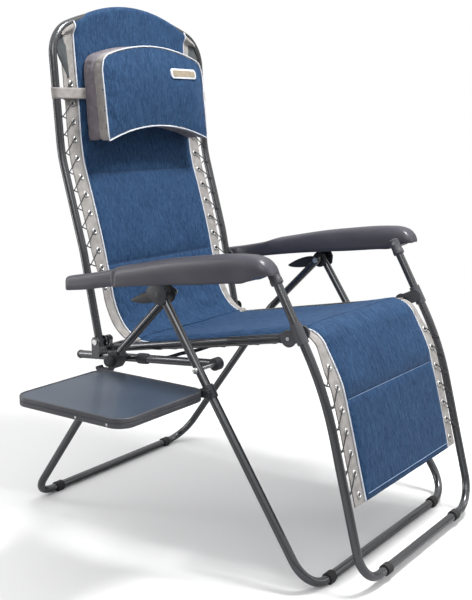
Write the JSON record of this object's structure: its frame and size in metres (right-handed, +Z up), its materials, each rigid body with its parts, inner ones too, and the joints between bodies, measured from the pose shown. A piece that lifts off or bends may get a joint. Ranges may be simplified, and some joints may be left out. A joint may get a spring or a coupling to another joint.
{
  "type": "folding recliner chair",
  "caption": "Folding zero gravity recliner: tubular frame, laced padded sling, moulded armrests, head pillow and a clip-on side table.",
  "frame": {"origin": "on the floor, under the middle of the bounding box of the chair with its side table", "axes": "+Z up, the sitter faces -Y, +X is the sitter's left"},
  "size_m": [0.9696, 0.955, 1.2218],
  "materials": {
    "frame_paint": "glossy metallic anthracite paint",
    "black_plastic": "fine moulded texture",
    "arm_plastic": "satin moulded plastic",
    "zinc_steel": "zinc plated",
    "blue_fabric": "padded woven fabric, crinkled",
    "grey_fabric": "woven tape",
    "taupe_fabric": "woven tape",
    "elastic_cord": "braided elastic cord",
    "table_laminate": "satin laminate",
    "sole_rubber": "rubber"
  },
  "bodies": {
    "front_legs": {"front_leg_frame": "frame_paint", "front_foot_clips": "sole_rubber", "link_front_bolts": "zinc_steel"},
    "rear_legs": {"rear_leg_frame": "frame_paint", "rear_foot_clips": "sole_rubber", "leg_knuckles": "black_plastic", "knuckle_screws": "zinc_steel"},
    "links": {"spreader_links": "frame_paint", "link_end_caps": "black_plastic", "back_clevises": "frame_paint", "leg_strap": "taupe_fabric", "seat_pivot_bolts": "zinc_steel"},
    "lock": {"lock_bolts": "zinc_steel", "lock_housings": "black_plastic"},
    "lever_l": {"lever_left": "black_plastic"},
    "lever_r": {"lever_right": "black_plastic"},
    "seat": {"seat_frame": "frame_paint", "seat_front_lugs": "black_plastic", "seat_panel": "blue_fabric", "seat_side_strips": "grey_fabric", "corner_sling": "blue_fabric"},
    "bushings": {"back_bushings": "black_plastic"},
    "back": {"back_frame": "frame_paint", "back_panel": "blue_fabric", "back_side_strips": "grey_fabric", "back_eyelets": "zinc_steel", "back_lacing": "elastic_cord", "top_sleeve": "blue_fabric"},
    "pillow": {"head_pillow": "blue_fabric", "pillow_strap": "taupe_fabric", "pillow_badge": "taupe_fabric"},
    "knee": {"knee_bolts": "zinc_steel"},
    "legrest": {"legrest_frame": "frame_paint", "knee_lugs": "black_plastic", "armrest_collars": "black_plastic", "legrest_foot_clips": "sole_rubber", "legrest_panel": "blue_fabric", "legrest_side_strips": "grey_fabric", "legrest_eyelets": "zinc_steel", "legrest_lacing": "elastic_cord", "knee_sling": "blue_fabric"},
    "arm_bolts": {"armrest_pivot_bolts": "zinc_steel"},
    "armrests": {"armrest_left": "arm_plastic", "armrest_right": "arm_plastic", "armrest_front_pins": "zinc_steel"},
    "side_table": {"table_top": "table_laminate", "table_rim": "black_plastic", "table_front_clamp": "black_plastic", "table_rear_hook": "black_plastic", "table_screws": "zinc_steel"}
  },
  "joints": [
    {"name": "leg_fold", "type": "hinge", "parent": "front_legs", "child": "rear_legs", "pos_m": [0.13275, 0.002, 0.584], "axis": [1, 0, 0], "range_deg": [-70, 0]},
    {"name": "link_fold", "type": "hinge", "parent": "front_legs", "child": "links", "pos_m": [0.13275, -0.096, 0.434], "axis": [1, 0, 0], "range_deg": [-112, 0]},
    {"name": "lock_fold", "type": "hinge", "parent": "front_legs", "child": "lock", "pos_m": [0.13275, 0.002, 0.584], "axis": [1, 0, 0], "range_deg": [-107.9, 0]},
    {"name": "recline", "type": "hinge", "parent": "links", "child": "seat", "pos_m": [0.13275, 0.249, 0.438], "axis": [-1, 0, 0], "range_deg": [0, 7.5]},
    {"name": "back_fold", "type": "hinge", "parent": "seat", "child": "bushings", "pos_m": [0.13275, 0.249, 0.438], "axis": [1, 0, 0], "range_deg": [0, 83.8], "deforming": ["corner_sling"]},
    {"name": "back_recline", "type": "hinge", "parent": "bushings", "child": "back", "pos_m": [0.13275, 0.249, 0.438], "axis": [-1, 0, 0], "range_deg": [0, 37.6]},
    {"name": "knee_fold", "type": "hinge", "parent": "seat", "child": "knee", "pos_m": [0.13275, -0.27, 0.51], "axis": [1, 0, 0], "range_deg": [0, 83.8], "deforming": ["knee_sling"]},
    {"name": "legrest_lift", "type": "hinge", "parent": "knee", "child": "legrest", "pos_m": [0.13275, -0.27, 0.51], "axis": [-1, 0, 0], "range_deg": [0, 37.6]},
    {"name": "arm_fold", "type": "hinge", "parent": "back", "child": "arm_bolts", "pos_m": [0.13275, 0.278, 0.578], "axis": [1, 0, 0], "range_deg": [-83.8, 0]},
    {"name": "arm_level", "type": "hinge", "parent": "arm_bolts", "child": "armrests", "pos_m": [0.13275, 0.278, 0.578], "axis": [-1, 0, 0], "range_deg": [-37.6, 0]},
    {"name": "lever_left_tilt", "type": "hinge", "parent": "lock", "child": "lever_l", "pos_m": [0.13275, 0.017, 0.581], "axis": [1, 0, 0], "range_deg": [0, 20]},
    {"name": "lever_right_tilt", "type": "hinge", "parent": "lock", "child": "lever_r", "pos_m": [0.13275, 0.017, 0.581], "axis": [1, 0, 0], "range_deg": [0, 20]},
    {"name": "pillow_slide", "type": "slide", "parent": "back", "child": "pillow", "axis": [0, 0.0768, 0.997], "range_m": [-0.05, 0.03]},
    {"name": "table_pull", "type": "slide", "parent": "front_legs", "child": "side_table", "axis": [-1, 0, 0], "range_m": [0, 0.08]}
  ],
  "couplings": [
    {"joint": "link_fold", "follows": "leg_fold", "ratio": 1.5972},
    {"joint": "lock_fold", "follows": "leg_fold", "ratio": 1.5389},
    {"joint": "back_fold", "follows": "leg_fold", "ratio": -1.1944},
    {"joint": "knee_fold", "follows": "leg_fold", "ratio": -1.1944},
    {"joint": "arm_fold", "follows": "leg_fold", "ratio": 1.1944},
    {"joint": "back_recline", "follows": "recline", "ratio": 5},
    {"joint": "legrest_lift", "follows": "recline", "ratio": 5},
    {"joint": "arm_level", "follows": "recline", "ratio": -5}
  ]
}
